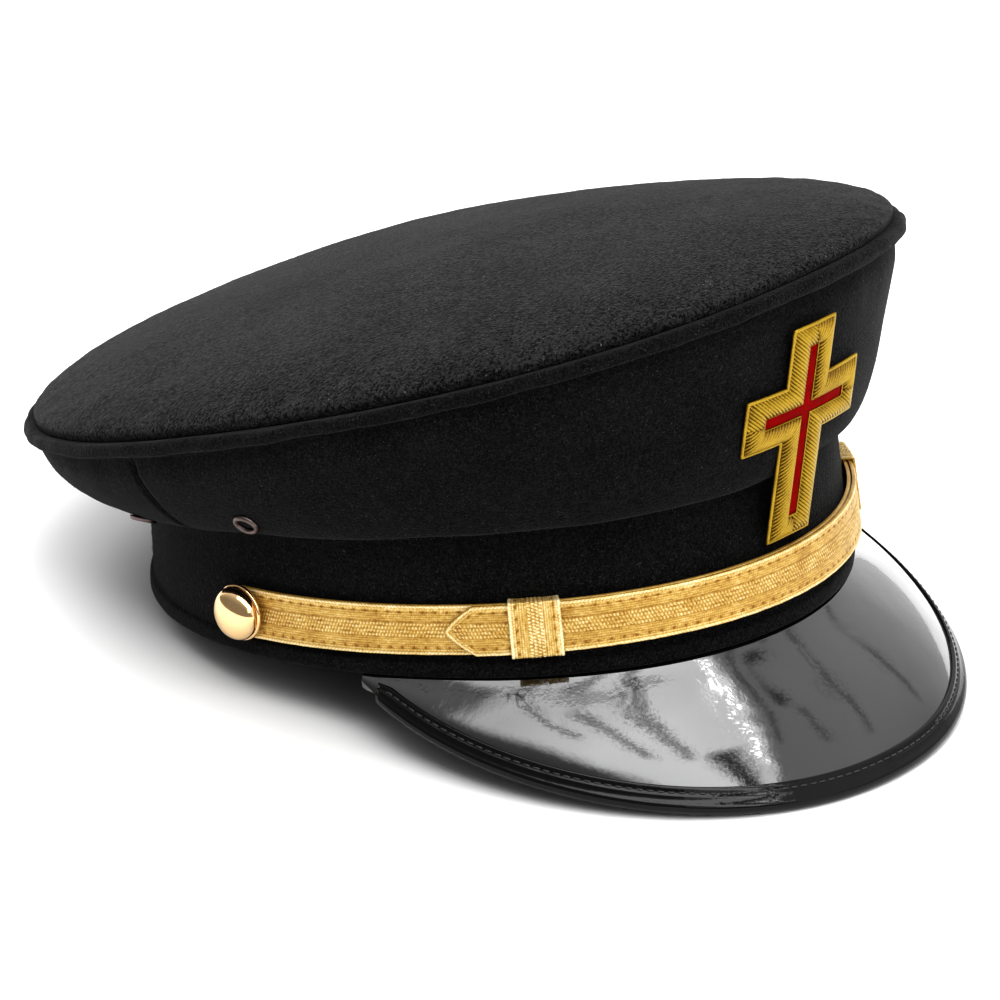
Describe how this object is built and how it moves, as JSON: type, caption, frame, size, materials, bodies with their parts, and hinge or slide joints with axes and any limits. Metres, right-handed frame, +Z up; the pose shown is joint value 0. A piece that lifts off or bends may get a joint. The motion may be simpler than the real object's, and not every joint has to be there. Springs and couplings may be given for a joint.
{
  "type": "fatigue cap",
  "caption": "Black wool military fatigue cap with a wide sagging crown, patent leather visor, gold lace chin strap on dome buttons, and an embroidered Passion cross.",
  "frame": {"origin": "middle of the overall box, on the floor that the cap rests on", "axes": "+Z up from the floor, -Y towards the front of the visor, +X towards the wearer's left; the head band's plane leans back about 9 degrees, as the cap lies by itself"},
  "size_m": [0.2264, 0.283, 0.1441],
  "materials": {
    "wool": "matt fulled wool cloth with short loose fibres",
    "welt_wool": "matt fulled wool cloth piping",
    "gold_lace": "woven metallic gold lace, softly shining",
    "gilt": "polished gilt",
    "eyelet_metal": "dull pressed metal",
    "gold_bullion": "laid gold bullion thread embroidery",
    "red_thread": "satin stitched red thread",
    "patent_leather": "high gloss black patent leather"
  },
  "bodies": {
    "root": {"band": "wool", "crown_side_front": "wool", "crown_side_back": "wool", "crown_welt": "welt_wool", "crown_top": "wool", "eyelet_right_front": "eyelet_metal", "eyelet_right_rear": "eyelet_metal", "strap_right": "gold_lace", "keeper_right": "gold_lace", "button_right": "gilt", "eyelet_left_front": "eyelet_metal", "eyelet_left_rear": "eyelet_metal", "strap_left": "gold_lace", "keeper_left": "gold_lace", "button_left": "gilt", "cross_bullion": "gold_bullion", "cross_core": "red_thread", "visor": "patent_leather", "visor_binding": "patent_leather"}
  },
  "joints": []
}
